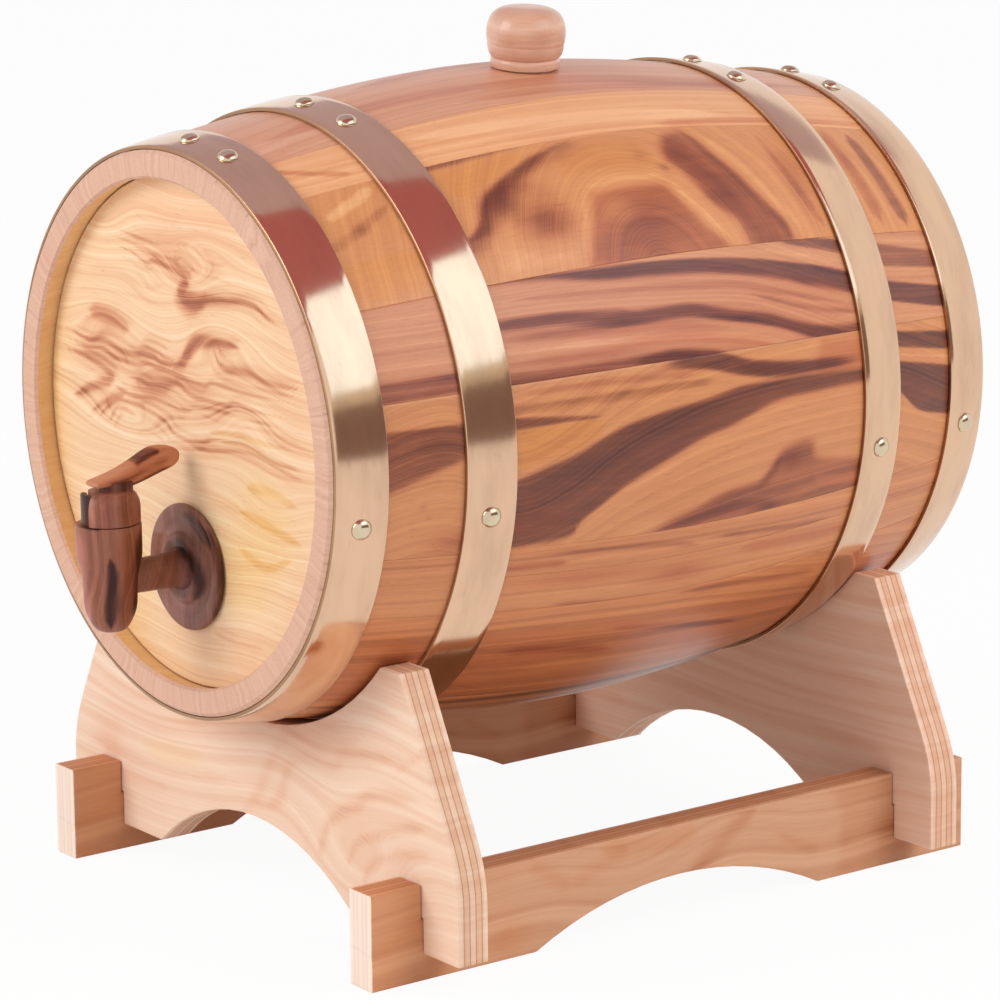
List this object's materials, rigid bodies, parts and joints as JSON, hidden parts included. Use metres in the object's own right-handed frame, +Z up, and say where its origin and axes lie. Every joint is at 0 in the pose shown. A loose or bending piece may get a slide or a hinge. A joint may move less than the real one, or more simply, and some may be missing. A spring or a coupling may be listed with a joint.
{
  "type": "mini whiskey barrel on stand",
  "caption": "Small coopered barrel with brass hoops, a top bung and a turned wooden tap, lying in a slotted plywood stand; made to age and pour a drink.",
  "frame": {"origin": "centre of the object's footprint box at the level of the stand's feet", "axes": "+Z up; the barrel lies along Y with its tap on the -Y side; +X is to the right of somebody who faces the tap"},
  "size_m": [0.2208, 0.293, 0.2837],
  "materials": {
    "plate_front": "sanded birch plywood, bare, layered edges",
    "plate_rear": "sanded birch plywood, bare, layered edges",
    "rail_left": "plywood, lightly oiled, layered edges",
    "rail_right": "plywood, lightly oiled, layered edges",
    "stave_01": "oak stave, sanded and lightly oiled, soft sheen",
    "stave_02": "oak stave, sanded and lightly oiled, soft sheen",
    "stave_03": "oak stave, sanded and lightly oiled, soft sheen",
    "stave_04": "oak stave, sanded and lightly oiled, soft sheen",
    "stave_05": "oak stave, sanded and lightly oiled, soft sheen",
    "stave_06": "oak stave, sanded and lightly oiled, soft sheen",
    "stave_07": "oak stave, sanded and lightly oiled, soft sheen",
    "stave_08": "oak stave, sanded and lightly oiled, soft sheen",
    "stave_09": "oak stave, sanded and lightly oiled, soft sheen",
    "stave_10": "oak stave, sanded and lightly oiled, soft sheen",
    "stave_11": "oak stave, sanded and lightly oiled, soft sheen",
    "stave_12": "oak stave, sanded and lightly oiled, soft sheen",
    "stave_13": "oak stave, sanded and lightly oiled, soft sheen",
    "stave_14": "oak stave, sanded and lightly oiled, soft sheen",
    "stave_15": "oak stave, sanded and lightly oiled, soft sheen",
    "stave_16": "oak stave, sanded and lightly oiled, soft sheen",
    "front_head": "pale flat-sawn board, oiled",
    "rear_head": "pale flat-sawn board, oiled",
    "hoop_front_end": "satin brass strip, rolled and slightly rubbed",
    "hoop_front_quarter": "satin brass strip, rolled and slightly rubbed",
    "hoop_rear_quarter": "satin brass strip, rolled and slightly rubbed",
    "hoop_rear_end": "satin brass strip, rolled and slightly rubbed",
    "nail_front_end_lap_left": "polished brass, domed",
    "nail_front_end_lap_right": "polished brass, domed",
    "nail_front_end_right": "polished brass, domed",
    "nail_front_end_left": "polished brass, domed",
    "nail_front_quarter_lap_left": "polished brass, domed",
    "nail_front_quarter_lap_right": "polished brass, domed",
    "nail_front_quarter_right": "polished brass, domed",
    "nail_front_quarter_left": "polished brass, domed",
    "nail_rear_quarter_lap_left": "polished brass, domed",
    "nail_rear_quarter_lap_right": "polished brass, domed",
    "nail_rear_quarter_right": "polished brass, domed",
    "nail_rear_quarter_left": "polished brass, domed",
    "nail_rear_end_lap_left": "polished brass, domed",
    "nail_rear_end_lap_right": "polished brass, domed",
    "nail_rear_end_right": "polished brass, domed",
    "nail_rear_end_left": "polished brass, domed",
    "tap_body": "turned dark hardwood, oiled",
    "tap_key": "turned and shaped dark hardwood, oiled",
    "bung": "turned hardwood, soft gloss"
  },
  "bodies": {
    "stand": {"plate_front": "plate_front", "plate_rear": "plate_rear", "rail_left": "rail_left", "rail_right": "rail_right"},
    "barrel": {"stave_01": "stave_01", "stave_02": "stave_02", "stave_03": "stave_03", "stave_04": "stave_04", "stave_05": "stave_05", "stave_06": "stave_06", "stave_07": "stave_07", "stave_08": "stave_08", "stave_09": "stave_09", "stave_10": "stave_10", "stave_11": "stave_11", "stave_12": "stave_12", "stave_13": "stave_13", "stave_14": "stave_14", "stave_15": "stave_15", "stave_16": "stave_16", "front_head": "front_head", "rear_head": "rear_head", "hoop_front_end": "hoop_front_end", "hoop_front_quarter": "hoop_front_quarter", "hoop_rear_quarter": "hoop_rear_quarter", "hoop_rear_end": "hoop_rear_end", "nail_front_end_lap_left": "nail_front_end_lap_left", "nail_front_end_lap_right": "nail_front_end_lap_right", "nail_front_end_right": "nail_front_end_right", "nail_front_end_left": "nail_front_end_left", "nail_front_quarter_lap_left": "nail_front_quarter_lap_left", "nail_front_quarter_lap_right": "nail_front_quarter_lap_right", "nail_front_quarter_right": "nail_front_quarter_right", "nail_front_quarter_left": "nail_front_quarter_left", "nail_rear_quarter_lap_left": "nail_rear_quarter_lap_left", "nail_rear_quarter_lap_right": "nail_rear_quarter_lap_right", "nail_rear_quarter_right": "nail_rear_quarter_right", "nail_rear_quarter_left": "nail_rear_quarter_left", "nail_rear_end_lap_left": "nail_rear_end_lap_left", "nail_rear_end_lap_right": "nail_rear_end_lap_right", "nail_rear_end_right": "nail_rear_end_right", "nail_rear_end_left": "nail_rear_end_left", "tap_body": "tap_body"},
    "key": {"tap_key": "tap_key"},
    "bung": {"bung": "bung"}
  },
  "joints": [
    {"name": "barrel_lift", "type": "slide", "parent": "stand", "child": "barrel", "axis": [0, 0, 1], "range_m": [0, 0.12]},
    {"name": "key_turn", "type": "hinge", "parent": "barrel", "child": "key", "pos_m": [0, -0.1362, 0.11668], "axis": [0, 0, 1], "range_deg": [0, 90]},
    {"name": "bung_draw", "type": "slide", "parent": "barrel", "child": "bung", "axis": [0.075, 0, 0.9972], "range_m": [0, 0.04]}
  ]
}
